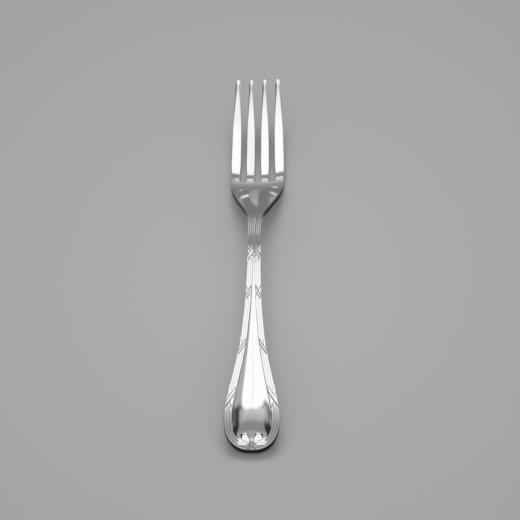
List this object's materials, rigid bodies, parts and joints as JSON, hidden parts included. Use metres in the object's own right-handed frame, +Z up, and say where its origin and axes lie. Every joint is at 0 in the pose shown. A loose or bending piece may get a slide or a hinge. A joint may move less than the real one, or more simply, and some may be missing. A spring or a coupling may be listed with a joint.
{
  "type": "baby fork",
  "caption": "Small polished metal table fork with a reeded, ribbon-tied handle, slender neck, dished head and tapered tines for a young child to spear and lift food.",
  "frame": {"origin": "on the table, below the middle of the fork's box", "axes": "+Y along the fork from the handle's end to the tips of the tines, +Z up from the table out of the hollow face, +X to the right seen from the handle's end"},
  "size_m": [0.0196, 0.1504, 0.0121],
  "materials": {
    "polished_metal": "mirror polished, with the faint hairlines of hand finishing and a little darkening in the grooves"
  },
  "bodies": {
    "root": {"handle": "polished_metal", "neck": "polished_metal", "head": "polished_metal", "tine_left_outer": "polished_metal", "tine_left_inner": "polished_metal", "tine_right_inner": "polished_metal", "tine_right_outer": "polished_metal"}
  },
  "joints": []
}
